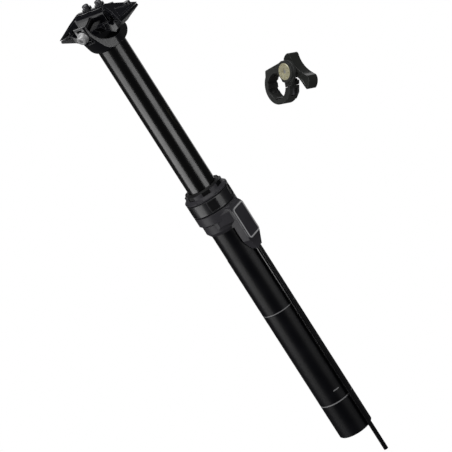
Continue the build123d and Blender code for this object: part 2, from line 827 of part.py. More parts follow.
# Valve pin inside the rod
pin_low = rocker_top + face_gap
with BuildPart() as valve_pin:
    with BuildSketch(Plane.XY.offset(pin_low)):
        Circle(valve_pin_radius)
    extrude(amount=rod_top - valve_pin_top_gap - pin_low)
    chamfer(valve_pin.faces().sort_by(Axis.Z)[0].edges(), valve_pin_tip)
valve_pin.part.label = "valve_pin"
export_step(valve_pin.part, "parts/valve_pin.step")

# Piston with its ring
ring_low = piston_low + piston_groove_low
with BuildPart() as piston:
    with BuildSketch(Plane.XY.offset(piston_low)):
        Circle(piston_radius)
        Circle(rod_radius + seat_gap, mode=Mode.SUBTRACT)
    extrude(amount=piston_height)
    with BuildSketch(Plane.XY.offset(ring_low)):
        Circle(piston_radius + overrun)
        Circle(piston_groove_radius, mode=Mode.SUBTRACT)
    extrude(amount=piston_ring_height, mode=Mode.SUBTRACT)
piston.part.label = "piston"
export_step(piston.part, "parts/piston.step")

piston_ring = ring(cartridge_bore - running_gap, piston_groove_radius + seat_gap,
                   ring_low + seat_gap, ring_low + piston_ring_height - seat_gap)
piston_ring.part.label = "piston_ring"
export_step(piston_ring.part, "parts/piston_ring.step")

# Stanchion: the sliding tube, with the lower bush's seat and pockets for the guide keys
with BuildPart() as stanchion:
    with BuildSketch(Plane.XY.offset(mast_bottom)):
        Circle(mast_radius)
        Circle(mast_bore_radius, mode=Mode.SUBTRACT)
    extrude(amount=head_z - mast_bottom)
    with BuildSketch(Plane.XY.offset(mast_bottom + lower_bush_height)):
        Circle(mast_radius + overrun)
        Circle(lower_bush_seat, mode=Mode.SUBTRACT)
    extrude(amount=lower_bush_length, mode=Mode.SUBTRACT)
    with BuildSketch(Plane.XY.offset(mast_bottom + key_height)):
        with PolarLocations(key_circle, key_count, start_angle=key_first_angle):
            Circle(key_radius + seat_gap)
    extrude(amount=key_length, mode=Mode.SUBTRACT)
stanchion.part.label = "stanchion"
export_step(stanchion.part, "parts/stanchion.step")

# Guide keys that stop the mast from turning
with BuildPart() as guide_keys:
    with BuildSketch(Plane.XY.offset(mast_bottom + key_height)):
        with PolarLocations(key_circle, key_count, start_angle=key_first_angle):
            Circle(key_radius)
    extrude(amount=key_length)
guide_keys.part.label = "guide_keys"
export_step(guide_keys.part, "parts/guide_keys.step")

# Lower bush, split where the push rod passes
with BuildPart() as lower_bush:
    with BuildSketch(Plane.XY.offset(mast_bottom + lower_bush_height + seat_gap)):
        Circle(lower_bush_radius)
        Circle(lower_bush_seat + seat_gap, mode=Mode.SUBTRACT)
        with Locations((lower_bush_seat, 0)):
            Rectangle(overrun * 2, lower_bush_split, mode=Mode.SUBTRACT)
    extrude(amount=lower_bush_length - seat_gap * 2)
lower_bush.part.label = "lower_bush"
export_step(lower_bush.part, "parts/lower_bush.step")

# Ring in the stanchion's foot that carries the cartridge
mast_foot_ring = ring(mast_bore_radius - seat_gap, foot_ring_bore, mast_bottom, gland_low)
mast_foot_ring.part.label = "mast_foot_ring"
export_step(mast_foot_ring.part, "parts/mast_foot_ring.step")

# Cartridge: its tube, rod gland, rubber stop, floating piston and top cap
cartridge_top = head_z - spigot_length
cartridge_tube = ring(cartridge_radius, cartridge_bore, gland_low, cartridge_top)
cartridge_tube.part.label = "cartridge_tube"
export_step(cartridge_tube.part, "parts/cartridge_tube.step")

rod_gland = ring(cartridge_bore - seat_gap, rod_radius + running_gap, gland_low, gland_high)
rod_gland.part.label = "rod_gland"
export_step(rod_gland.part, "parts/rod_gland.step")

top_out_bumper = ring(bumper_radius, rod_radius + running_gap * 2, gland_high, gland_high + bumper_height)
top_out_bumper.part.label = "top_out_bumper"
export_step(top_out_bumper.part, "parts/top_out_bumper.step")

floating_low = rod_top + travel + floating_piston_travel_gap
with BuildPart() as floating_piston:
    with BuildSketch(Plane.XY.offset(floating_low)):
        Circle(cartridge_bore - seat_gap)
    extrude(amount=floating_piston_height)
floating_piston.part.label = "floating_piston"
export_step(floating_piston.part, "parts/floating_piston.step")

with BuildPart() as cartridge_cap:
    with BuildSketch(Plane.XY.offset(cartridge_top - cap_height)):
        Circle(cartridge_bore - seat_gap)
    extrude(amount=cap_height)
cartridge_cap.part.label = "cartridge_cap"
export_step(cartridge_cap.part, "parts/cartridge_cap.step")

# Forged head: a flared foot that rises into two horns, with the saddle arc between them
with BuildPart() as seat_head:
    for side, flare_points in ((-1, rear_flare), (1, front_flare)):
        with BuildSketch(Plane.XZ):
            with BuildLine():
                flare = Spline([(side * r, head_z + h) for r, h in flare_points])
                Polyline(flare @ 1, (0, head_z + flare_points[-1][1]), (0, head_z), flare @ 0)
            make_face()
        revolve(axis=Axis.Z, revolution_arc=half_turn)
    with BuildSketch(Plane.XY.offset(head_z)):
        Circle(head_half_width)
        with Locations((0, horn_y), (0, -horn_y)):
            Circle(horn_radius)
        make_hull()
    extrude(amount=rail_height + tilt_axis_rise + rear_horn_rise, mode=Mode.INTERSECT)
    with BuildSketch(Plane.XY.offset(tilt_z + front_horn_rise)):
        Rectangle(head_half_width * 4, washer_arc * 2, align=(Align.CENTER, Align.MIN))
    extrude(amount=washer_arc, mode=Mode.SUBTRACT)
    with BuildSketch(along_x(-head_half_width - overrun, 0, tilt_z)):
        Circle(saddle_arc)
    extrude(amount=(head_half_width + overrun) * 2, mode=Mode.SUBTRACT)
    # Slots for the tilt bolts, and the arcs outside the horns where their washers slide
    for side, slot, drop in ((-1, rear_slot, rear_channel_drop), (1, front_slot, front_channel_drop)):
        with BuildSketch(along_x(-slot_half_width, side * saddle_arc, tilt_z)):
            with Locations((0, (slot[0] + slot[1]) / 2)):
                Rectangle(overrun * 4, slot[1] - slot[0])
        extrude(amount=slot_half_width * 2, mode=Mode.SUBTRACT)
        with BuildSketch(along_x(-channel_half_width, side * washer_arc, tilt_z - drop)):
            Rectangle(washer_arc * 2, washer_arc * 2, align=(Align.CENTER, Align.MIN))
            with Locations((-side * washer_arc, drop)):
                Circle(washer_arc, mode=Mode.SUBTRACT)
        extrude(amount=channel_half_width * 2, mode=Mode.SUBTRACT)
    # Spigot in the stanchion
    with BuildSketch(Plane.XY.offset(head_z - spigot_length)):
        Circle(mast_bore_radius - seat_gap)
    extrude(amount=spigot_length)
seat_head.part.label = "seat_head"
export_step(seat_head.part, "parts/seat_head.step")

# Saddle clamp: its levels and its plan, both halves of it about the middle of the rails
split_low = rail_z - clamp_split_gap / 2
split_high = rail_z + clamp_split_gap / 2
ridge_top = rail_z + ridge_rise
wing_top = rail_z + wing_rise
wing_low = rail_z - wing_drop
body_low = rail_z - body_drop
hollow_x = rail_x + rail_radius + hollow_wall


def whole_plan(corners):
    """A plan that is the same on both sides and both ends of the clamp's middle."""
    front = [(x, clamp_y + y) for x, y in corners] + [(x, clamp_y - y) for x, y in reversed(corners)]
    return front + [(-x, 2 * clamp_y - y) for x, y in front]


# Lower cradle: wings with the rail grooves, a keel in the saddle arc and a hub for the barrel
cradle_side = [
    (wing_x - clamp_split_gap, split_low),
    (wing_x, wing_low + clamp_split_gap),
    (wing_x - clamp_split_gap, wing_low),
    (wing_root_x, rail_z - wing_root_drop),
    (body_x, body_low),
]
cradle_plan = [
    (body_x, root_half_width),
    (rail_x + rail_radius, root_half_width),
    (wing_x, wing_half_width),
]
with BuildPart() as lower_cradle:
    with BuildSketch(Plane.XZ.offset(-clamp_y - wing_half_width)):
        with BuildLine():
            Polyline(*cradle_side, *[(-x, z) for x, z in reversed(cradle_side)], close=True)
        make_face()
    extrude(amount=wing_half_width * 2)
    with BuildSketch(Plane.XY.offset(head_z)):
        with BuildLine():
            Polyline(*whole_plan(cradle_plan), close=True)
        make_face()
    extrude(amount=ridge_top - head_z, mode=Mode.INTERSECT)
    for reach, radius in ((body_x, cradle_radius), (body_x + cradle_step, cradle_step_radius),
                          (keel_half_width, saddle_arc - keel_clearance)):
        with BuildSketch(along_x(-reach, 0, tilt_z)):
            Circle(radius)
            with Locations((0, split_low - tilt_z)):
                Rectangle(saddle_arc * 2, saddle_arc * 2, align=(Align.CENTER, Align.MIN), mode=Mode.SUBTRACT)
        extrude(amount=reach * 2)
    with BuildSketch(along_x(-hub_half_length, 0, tilt_z)):
        Circle(hub_radius)
        Rectangle(hub_radius * 2, hub_radius * 2, align=(Align.CENTER, Align.MAX))
    extrude(amount=hub_half_length * 2)
    with BuildSketch(along_x(-hub_half_length - overrun, 0, tilt_z)):
        Circle(barrel_radius + seat_gap)
    extrude(amount=(hub_half_length + overrun) * 2, mode=Mode.SUBTRACT)
    with BuildSketch(Plane.XZ.offset(-clamp_y - wing_half_width - overrun)):
        with Locations((rail_x, rail_z), (-rail_x, rail_z)):
            Circle(rail_radius)
    extrude(amount=(wing_half_width + overrun) * 2, mode=Mode.SUBTRACT)
    # A three-cornered hollow along the outside of each wing
    for side in (-1, 1):
        with BuildSketch(Plane.XZ.offset(-clamp_y - wing_half_width - overrun)):
            with BuildLine():
                Polyline(
                    (side * hollow_x, split_low - hollow_half_height),
                    (side * (wing_x - hollow_end), split_low - hollow_half_height),
                    (side * hollow_x, split_low - hollow_half_height * 3),
                    close=True,
                )
            make_face()
        extrude(amount=(wing_half_width + overrun) * 2, mode=Mode.SUBTRACT)
    # Holes for the rail bolts and the tilt bolts
    with BuildSketch(Plane.XY.offset(rail_z - rail_bolt_depth)):
        with Locations((rail_bolt_x, rail_bolt_y), (-rail_bolt_x, rail_bolt_y)):
            Circle(rail_bolt_radius + seat_gap)
    extrude(amount=ridge_top, mode=Mode.SUBTRACT)
    for side, angle in ((-1, rear_bolt_angle), (1, front_bolt_angle)):
        bolt_plane = Plane(
            origin=(0, 0, tilt_z),
            x_dir=(1, 0, 0),
            z_dir=(0, side * cos(radians(angle)), -sin(radians(angle))),
        )
        with BuildSketch(bolt_plane):
            Circle(tilt_bolt_radius + face_gap)
        extrude(amount=saddle_arc + overrun, mode=Mode.SUBTRACT)
lower_cradle.part.label = "lower_cradle"
export_step(lower_cradle.part, "parts/lower_cradle.step")

# Upper clamp: a narrow ridge across the hub, and wings that slope down over the rails
clamp_side = [
    (wing_x, split_high),
    (wing_x, wing_top),
    (knee_x, rail_z + knee_rise),
    (ridge_x, ridge_top),
]
clamp_plan = [
    (waist_x, waist_half_width),
    (wing_x, wing_half_width),
]
with BuildPart() as upper_clamp:
    with BuildSketch(Plane.XZ.offset(-clamp_y - wing_half_width)):
        with BuildLine():
            Polyline(*clamp_side, *[(-x, z) for x, z in reversed(clamp_side)], close=True)
        make_face()
    extrude(amount=wing_half_width * 2)
    with BuildSketch(Plane.XY.offset(head_z)):
        with BuildLine():
            Polyline(*whole_plan(clamp_plan), close=True)
        make_face()
    extrude(amount=ridge_top - head_z, mode=Mode.INTERSECT)
    with BuildSketch(along_x(-wing_x, clamp_y, 0)):
        with BuildLine():
            Polyline(
                (-wing_half_width, split_high - overrun),
                (-wing_half_width, wing_top),
                (-ridge_half_width, ridge_top - ridge_edge),
                (-ridge_half_width + ridge_edge, ridge_top),
                (ridge_half_width - ridge_edge, ridge_top),
                (ridge_half_width, ridge_top - ridge_edge),
                (wing_half_width, wing_top),
                (wing_half_width, split_high - overrun),
                close=True,
            )
        make_face()
    extrude(amount=wing_x * 2, mode=Mode.INTERSECT)
    with BuildSketch(Plane.XY.offset(tilt_z + hub_radius + clamp_split_gap)):
        with Locations((rail_bolt_x, rail_bolt_y), (-rail_bolt_x, rail_bolt_y)):
            Circle(rail_boss_radius)
    extrude(amount=ridge_top + rail_boss_height - tilt_z - hub_radius - clamp_split_gap)
    # A low round lump on each wing's front slope, above the rail
    lump_low = wing_top
    lump_high = rail_z + knee_rise * (wing_x - lump_x) / (wing_x - knee_x) + lump_height
    for side in (-1, 1):
        with BuildSketch(Plane.XY.offset(lump_low)):
            with Locations((side * lump_x, clamp_y + lump_y)):
                Circle(lump_radius)
        extrude(amount=lump_high - lump_low)
    with BuildSketch(along_x(-hub_half_length - clamp_split_gap, 0, tilt_z + hub_radius + clamp_split_gap)):
        Rectangle(saddle_arc * 2, saddle_arc, align=(Align.CENTER, Align.MAX))
    extrude(amount=(hub_half_length + clamp_split_gap) * 2, mode=Mode.SUBTRACT)
    with BuildSketch(Plane.XZ.offset(-clamp_y - wing_half_width - overrun)):
        with Locations((rail_x, rail_z), (-rail_x, rail_z)):
            Circle(rail_radius)
    extrude(amount=(wing_half_width + overrun) * 2, mode=Mode.SUBTRACT)
    with BuildSketch(Plane.XY.offset(tilt_z)):
        with Locations((rail_bolt_x, rail_bolt_y), (-rail_bolt_x, rail_bolt_y)):
            Circle(rail_bolt_radius + seat_gap)
    extrude(amount=ridge_top, mode=Mode.SUBTRACT)
    # A hollow under each wing, and a sunken three-cornered panel in its slope
    slope = atan2(rail_z + knee_rise - wing_top, wing_x - knee_x)
    slope_length = (wing_x - knee_x) / cos(slope)
    for side in (-1, 1):
        with BuildSketch(Plane.XZ.offset(-clamp_y - wing_half_width - overrun)):
            with BuildLine():
                Polyline(
                    (side * hollow_x, split_high + hollow_half_height),
                    (side * (wing_x - hollow_end), split_high + hollow_half_height),
                    (side * hollow_x, split_high + hollow_half_height * 4),
                    close=True,
                )
            make_face()
        extrude(amount=(wing_half_width + overrun) * 2, mode=Mode.SUBTRACT)
        slope_plane = Plane(
            origin=(side * knee_x, clamp_y, rail_z + knee_rise),
            x_dir=(side * cos(slope), 0, -sin(slope)),
            z_dir=(side * sin(slope), 0, cos(slope)),
        )
        with BuildSketch(slope_plane):
            with BuildLine():
                Polyline(
                    (pocket_rim, -side * pocket_rim),
                    (slope_length - pocket_rim, side * (wing_half_width - pocket_rim * 2)),
                    (slope_length - pocket_rim, -side * (wing_half_width - pocket_rim * 2)),
                    close=True,
                )
            make_face()
        extrude(amount=-pocket_depth, mode=Mode.SUBTRACT)
upper_clamp.part.label = "upper_clamp"
export_step(upper_clamp.part, "parts/upper_clamp.step")

# Barrel across the clamp, threaded for the bolts and hollow at its ends
with BuildPart() as clamp_barrel:
    with BuildSketch(along_x(-hub_half_length, 0, tilt_z)):
        Circle(barrel_radius)
    extrude(amount=hub_half_length * 2)
    for side, angle in ((-1, rear_bolt_angle), (1, front_bolt_angle)):
        with BuildSketch(along_x(side * (hub_half_length - barrel_hole_depth), 0, tilt_z)):
            Circle(barrel_hole_radius)
        extrude(amount=side * (barrel_hole_depth + overrun), mode=Mode.SUBTRACT)
        bolt_plane = Plane(
            origin=(0, 0, tilt_z),
            x_dir=(1, 0, 0),
            z_dir=(0, side * cos(radians(angle)), -sin(radians(angle))),
        )
        with BuildSketch(bolt_plane.offset(tilt_bolt_start)):
            Circle(tilt_bolt_radius + seat_gap)
        extrude(amount=barrel_radius, mode=Mode.SUBTRACT)
clamp_barrel.part.label = "clamp_barrel"
export_step(clamp_barrel.part, "parts/clamp_barrel.step")

# Two rail bolts that pull the upper clamp down
boss_top = ridge_top + rail_boss_height
with BuildPart() as rail_bolts:
    for x in (-rail_bolt_x, rail_bolt_x):
        with BuildSketch(Plane.XY.offset(rail_z - rail_bolt_depth)):
            with Locations((x, rail_bolt_y)):
                Circle(rail_bolt_radius)
        extrude(amount=boss_top - rail_z + rail_bolt_depth)
        with BuildSketch(Plane.XY.offset(boss_top)):
            with Locations((x, rail_bolt_y)):
                Circle(rail_bolt_head_radius)
        extrude(amount=rail_bolt_head_height)
    tops = rail_bolts.faces().filter_by(Axis.Z).filter_by(lambda f: f.center().Z > boss_top + rail_bolt_dome)
    chamfer(tops.edges(), rail_bolt_dome)
    with BuildSketch(Plane.XY.offset(boss_top + rail_bolt_head_height)):
        with Locations((-rail_bolt_x, rail_bolt_y), (rail_bolt_x, rail_bolt_y)):
            RegularPolygon(rail_socket_size / 2, 6)
    extrude(amount=-rail_bolt_radius, mode=Mode.SUBTRACT)
rail_bolts.part.label = "rail_bolts"
export_step(rail_bolts.part, "parts/rail_bolts.step")

# Tilt bolts through the horns, each with a washer that slides on the horn's arc
for name, side, angle in (("rear", -1, rear_bolt_angle), ("front", 1, front_bolt_angle)):
    bolt_plane = Plane(
        origin=(0, 0, tilt_z),
        x_dir=(1, 0, 0),
        z_dir=(0, side * cos(radians(angle)), -sin(radians(angle))),
    )
    washer_top = washer_arc + tilt_washer_height
    with BuildPart() as tilt_washer:
        with BuildSketch(bolt_plane.offset(washer_arc - tilt_washer_height)):
            Circle(tilt_washer_radius)
            Circle(tilt_bolt_radius + running_gap, mode=Mode.SUBTRACT)
        extrude(amount=tilt_washer_height * 2)
        with BuildSketch(along_x(-tilt_washer_radius - overrun, 0, tilt_z)):
            Circle(washer_arc + running_gap)
        extrude(amount=(tilt_washer_radius + overrun) * 2, mode=Mode.SUBTRACT)
    tilt_washer.part.label = name + "_tilt_washer"
    export_step(tilt_washer.part, "parts/" + name + "_tilt_washer.step")

    with BuildPart() as tilt_bolt:
        with BuildSketch(bolt_plane.offset(tilt_bolt_start)):
            Circle(tilt_bolt_radius)
        extrude(amount=washer_top - tilt_bolt_start)
        with BuildSketch(bolt_plane.offset(washer_top)):
            Circle(tilt_bolt_head_radius)
        extrude(amount=tilt_bolt_head_height)
        chamfer(tilt_bolt.faces().sort_by(Axis(bolt_plane.origin, bolt_plane.z_dir))[-1].edges(), tilt_bolt_dome)
        with BuildSketch(bolt_plane.offset(washer_top + tilt_bolt_head_height)):
            RegularPolygon(socket_size / 2, 6)
        extrude(amount=-socket_depth, mode=Mode.SUBTRACT)
    tilt_bolt.part.label = name + "_tilt_bolt"
    export_step(tilt_bolt.part, "parts/" + name + "_tilt_bolt.step")

# Frame of the remote
remote_axis = Vector(*remote_axis_share).normalized()
remote_right = Vector(*remote_up_share).cross(remote_axis).normalized()
remote = Plane(origin=remote_place, x_dir=remote_right, z_dir=remote_axis)
remote_up = remote.y_dir
back = remote.offset(-remote_width)
split_run = (split_right[0] - split_left[0], split_right[1] - split_left[1])
split_reach = band_radius * 2


def split_half(upper):
    """Corners of everything above, or below, the line where the band meets the body."""
    way = 1 if upper else -1
    lift = way * split_gap / 2
    start = (split_left[0] - split_run[0], split_left[1] - split_run[1] + lift)
    end = (split_right[0] + split_run[0], split_right[1] + split_run[1] + lift)
    return [start, end, (end[0], way * split_reach), (start[0], way * split_reach)]


knuckle_length = remote_width * knuckle_share
knuckle_low = (remote_width - knuckle_length) / 2

# Body of the bar clamp: the upper ring, a recessed web with the pivot's boss, and the middle knuckle
lever_pivot = (pivot_x, pivot_y)
bolt_place = remote.from_local_coords(Vector(clamp_bolt_x, 0, -remote_width / 2))
with BuildPart() as bar_clamp_body:
    with BuildSketch(back):
        Circle(band_radius)
    extrude(amount=remote_width)
    with BuildSketch(back):
        Circle(band_radius - face_gap)
        with Locations(corner_place):
            Circle(corner_radius)
        make_hull()
    extrude(amount=remote_width - web_recess)
    with BuildSketch(back):
        with Locations(lever_pivot):
            Circle(hub_pocket_radius)
    extrude(amount=remote_width - cheek_thickness, mode=Mode.SUBTRACT)
    with BuildSketch(remote.offset(-cheek_thickness)):
        Circle(band_radius - face_gap)
        with Locations(lever_pivot):
            Circle(lobe_radius)
        with Locations(corner_place):
            Circle(corner_radius)
        make_hull()
    extrude(amount=cheek_thickness - web_recess)
    with BuildSketch(remote.offset(-cheek_thickness + web_recess)):
        with Locations(lever_pivot):
            Circle(boss_radius)
    extrude(amount=cheek_thickness - web_recess + boss_height)
    with BuildSketch(remote):
        with Locations(lever_pivot):
            Circle(cap_disc_radius + cap_disc_gap)
    extrude(amount=boss_height, mode=Mode.SUBTRACT)
    with BuildSketch(back):
        with Locations(((ear_x + bar_radius) / 2, ear_high)):
            Rectangle(ear_x - bar_radius, ear_high - split_right[1] + split_gap, align=(Align.CENTER, Align.MAX))
    extrude(amount=remote_width - web_recess)
    with BuildSketch(back.offset(-overrun)):
        with BuildLine():
            Polyline(*split_half(False)[:2], *[(x, y - split_gap) for x, y in split_half(False)[2:]], close=True)
        make_face()
        with BuildLine():
            Polyline(*split_half(True)[:2], *reversed(split_half(False)[:2]), close=True)
        make_face()
    extrude(amount=remote_width + overrun * 2, mode=Mode.SUBTRACT)
    for low in (-face_gap, knuckle_low + knuckle_length):
        with BuildSketch(back.offset(low)):
            with Locations(hinge_place):
                Circle(knuckle_radius + face_gap)
        extrude(amount=knuckle_low + face_gap, mode=Mode.SUBTRACT)
    with BuildSketch(back.offset(knuckle_low)):
        with Locations(hinge_place):
            Circle(knuckle_radius)
    extrude(amount=knuckle_length)
    with BuildSketch(back.offset(-overrun)):
        Circle(bar_radius)
        for angle in body_groove_angles:
            with PolarLocations(bar_radius, 1, start_angle=angle):
                Rectangle(grip_groove_depth * 2, grip_groove_width)
    extrude(amount=remote_width + overrun * 2, mode=Mode.SUBTRACT)
    for place, radius in ((hinge_place, hinge_pin_radius + seat_gap), (lever_pivot, axle_radius + running_gap)):
        with BuildSketch(back.offset(-overrun)):
            with Locations(place):
                Circle(radius)
        extrude(amount=remote_width + overrun * 2, mode=Mode.SUBTRACT)
    with BuildSketch(Plane(origin=bolt_place, x_dir=remote_right, z_dir=remote_up)):
        Circle(clamp_bolt_radius + seat_gap)
    extrude(amount=clamp_bolt_top, both=True, mode=Mode.SUBTRACT)
    # A small screw hole in the bore's wall
    hole_way = remote_right * cos(radians(screw_hole_angle)) + remote_up * sin(radians(screw_hole_angle))
    hole_place = remote.from_local_coords(Vector(0, 0, -remote_width / 2)) + hole_way * (bar_radius - overrun)
    with BuildSketch(Plane(origin=hole_place, x_dir=remote_axis, z_dir=hole_way)):
        Circle(screw_hole_radius)
    extrude(amount=overrun + screw_hole_depth, mode=Mode.SUBTRACT)
bar_clamp_body.part.label = "bar_clamp_body"
export_step(bar_clamp_body.part, "parts/bar_clamp_body.step")

# Band: the lower half ring with the outer knuckles and the bolt's ear
head_seat = Plane(origin=bolt_place + remote_up * clamp_bolt_seat, x_dir=remote_right, z_dir=remote_up)
with BuildPart() as bar_clamp_band:
    with BuildSketch(back):
        Circle(band_radius)
        with BuildLine():
            Polyline(
                (ear_x, split_reach),
                (ear_x, ear_edge_low),
                ear_foot,
                (ear_inner_x, ear_foot[1]),
                (ear_inner_x, split_reach),
                close=True,
            )
        make_face()
        with BuildLine():
            Polyline(*split_half(False), close=True)
        make_face(mode=Mode.INTERSECT)
    extrude(amount=remote_width)
    for low in (0, knuckle_low + knuckle_length):
        with BuildSketch(back.offset(low)):
            with Locations(hinge_place):
                Circle(knuckle_radius)
        extrude(amount=knuckle_low)
    with BuildSketch(back.offset(knuckle_low - face_gap)):
        with Locations(hinge_place):
            Circle(knuckle_radius + face_gap)
    extrude(amount=knuckle_length + face_gap * 2, mode=Mode.SUBTRACT)
    with BuildSketch(back.offset(-overrun)):
        Circle(bar_radius)
        with PolarLocations(bar_radius, 1, start_angle=band_groove_angle):
            Rectangle(grip_groove_depth * 2, grip_groove_width)
        with Locations(hinge_place):
            Circle(hinge_pin_radius + seat_gap)
    extrude(amount=remote_width + overrun * 2, mode=Mode.SUBTRACT)
    with BuildSketch(Plane(origin=bolt_place, x_dir=remote_right, z_dir=remote_up)):
        Circle(clamp_bolt_radius + seat_gap)
    extrude(amount=clamp_bolt_top, both=True, mode=Mode.SUBTRACT)
    # The pocket that the bolt's head sits in, open to the right
    with BuildSketch(back.offset(remote_width / 2 - bolt_pocket_half_width)):
        with Locations((bolt_pocket_x, bolt_pocket_low)):
            Rectangle(band_radius, clamp_bolt_seat - bolt_pocket_low, align=(Align.MIN, Align.MIN))
        with Locations((clamp_bolt_x + clamp_bolt_radius / 2, clamp_bolt_seat)):
            Rectangle(band_radius, bolt_pocket_high - clamp_bolt_seat, align=(Align.MIN, Align.MIN))
    extrude(amount=bolt_pocket_half_width * 2, mode=Mode.SUBTRACT)
bar_clamp_band.part.label = "bar_clamp_band"
export_step(bar_clamp_band.part, "parts/bar_clamp_band.step")

# Hinge pin of the band
with BuildPart() as hinge_pin:
    with BuildSketch(back):
        with Locations(hinge_place):
            Circle(hinge_pin_radius)
    extrude(amount=remote_width)
hinge_pin.part.label = "hinge_pin"
export_step(hinge_pin.part, "parts/hinge_pin.step")

# Clamp bolt of the band
with BuildPart() as clamp_bolt:
    with BuildSketch(head_seat):
        Circle(clamp_bolt_radius)
    extrude(amount=clamp_bolt_top - clamp_bolt_seat)
    with BuildSketch(head_seat):
        Circle(clamp_bolt_head_radius)
    extrude(amount=-clamp_bolt_head_height)
    with BuildSketch(head_seat.offset(-clamp_bolt_head_height)):
        RegularPolygon(clamp_bolt_radius, 6)
    extrude(amount=clamp_bolt_head_height / 2, mode=Mode.SUBTRACT)
clamp_bolt.part.label = "clamp_bolt"
export_step(clamp_bolt.part, "parts/clamp_bolt.step")

# Axle that the lever turns on
lever_back = lever_front + lever_width
nut_low = lever_back + nut_gap + nut_height
with BuildPart() as pivot_axle:
    with BuildSketch(remote.offset(-nut_low)):
        with Locations(lever_pivot):
            Circle(axle_radius)
    extrude(amount=nut_low + cap_disc_gap + axle_cap_depth)
pivot_axle.part.label = "pivot_axle"
export_step(pivot_axle.part, "parts/pivot_axle.step")

# Nut behind the lever
with BuildPart() as pivot_nut:
    with BuildSketch(remote.offset(-nut_low)):
        with Locations(lever_pivot):
            RegularPolygon(nut_size, 6)
            Circle(axle_radius + seat_gap, mode=Mode.SUBTRACT)
    extrude(amount=nut_height)
pivot_nut.part.label = "pivot_nut"
export_step(pivot_nut.part, "parts/pivot_nut.step")

# Round cap on the pivot, with a ring of dimples and a socket
with BuildPart() as pivot_cap:
    with BuildSketch(remote.offset(cap_disc_gap)):
        with Locations(lever_pivot):
            Circle(cap_disc_radius)
    extrude(amount=cap_disc_height)
    cap_top = remote.offset(cap_disc_gap + cap_disc_height)
    chamfer(pivot_cap.faces().sort_by(Axis(remote.origin, remote.z_dir))[-1].edges(), cap_edge)
    with BuildSketch(cap_top):
        with Locations(lever_pivot):
            with PolarLocations(cap_dimple_circle, cap_dimple_count):
                Circle(cap_dimple_radius)
    extrude(amount=-cap_dimple_depth, mode=Mode.SUBTRACT)
    with BuildSketch(cap_top):
        with Locations(lever_pivot):
            Circle(cap_socket_rim)
    extrude(amount=-cap_dimple_depth / 2, mode=Mode.SUBTRACT)
    with BuildSketch(cap_top):
        with Locations(lever_pivot):
            RegularPolygon(cap_socket_size, 6)
    extrude(amount=-(cap_disc_height - axle_cap_depth), mode=Mode.SUBTRACT)
    with BuildSketch(remote.offset(cap_disc_gap)):
        with Locations(lever_pivot):
            Circle(axle_radius + seat_gap)
    extrude(amount=axle_cap_depth, mode=Mode.SUBTRACT)
pivot_cap.part.label = "pivot_cap"
export_step(pivot_cap.part, "parts/pivot_cap.step")

# Thumb lever: a hub behind the cheek and a paddle with a hollowed thumb face
paddle = [[(pivot_x + x, pivot_y + y) for x, y in run] for run in (lever_top, lever_thumb, lever_tip, lever_under)]
with BuildPart() as thumb_lever:
    with BuildSketch(remote.offset(-lever_back)):
        with BuildLine():
            for run in paddle:
                Spline(run)
            Line(paddle[-1][-1], lever_pivot)
            Line(lever_pivot, paddle[0][0])
        make_face()
        with Locations(lever_pivot):
            Circle(lever_hub_radius)
    extrude(amount=lever_width)
    with BuildSketch(remote.offset(-lever_front)):
        with BuildLine():
            Spline([(pivot_x + x, pivot_y + y) for x, y in lever_panel], periodic=True)
        make_face()
    extrude(amount=-lever_panel_depth, mode=Mode.SUBTRACT)
    with BuildSketch(remote.offset(-lever_back - overrun)):
        with Locations(lever_pivot):
            Circle(lever_bore)
    extrude(amount=lever_width + overrun * 2, mode=Mode.SUBTRACT)
    with BuildSketch(remote.offset(-lever_back)):
        with Locations(lever_pivot):
            Circle(return_spring_outer + running_gap)
    extrude(amount=return_spring_depth, mode=Mode.SUBTRACT)
    with BuildSketch(remote.offset(-lever_front)):
        with Locations(lever_pivot):
            with PolarLocations(anchor_circle, 1, start_angle=anchor_angle):
                Circle(anchor_radius + seat_gap)
    extrude(amount=-anchor_depth, mode=Mode.SUBTRACT)
thumb_lever.part.label = "thumb_lever"
export_step(thumb_lever.part, "parts/thumb_lever.step")

# Bush in the lever's hub
with BuildPart() as lever_bush:
    with BuildSketch(remote.offset(-lever_back + return_spring_depth)):
        with Locations(lever_pivot):
            Circle(lever_bore - seat_gap)
            Circle(lever_bush_inner, mode=Mode.SUBTRACT)
    extrude(amount=lever_width - return_spring_depth)
lever_bush.part.label = "lever_bush"
export_step(lever_bush.part, "parts/lever_bush.step")

# Return spring in the lever's hub, hidden, as a plain ring
with BuildPart() as return_spring:
    with BuildSketch(remote.offset(-lever_back)):
        with Locations(lever_pivot):
            Circle(return_spring_outer)
            Circle(return_spring_inner, mode=Mode.SUBTRACT)
    extrude(amount=return_spring_depth - seat_gap)
return_spring.part.label = "return_spring"
export_step(return_spring.part, "parts/return_spring.step")

# Anchor of the wire in the lever's hub
with BuildPart() as wire_anchor:
    with BuildSketch(remote.offset(-lever_front)):
        with Locations(lever_pivot):
            with PolarLocations(anchor_circle, 1, start_angle=anchor_angle):
                Circle(anchor_radius)
    extrude(amount=-anchor_depth + seat_gap)
wire_anchor.part.label = "wire_anchor"
export_step(wire_anchor.part, "parts/wire_anchor.step")
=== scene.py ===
import json
import math

import bpy
from mathutils import Matrix, Vector


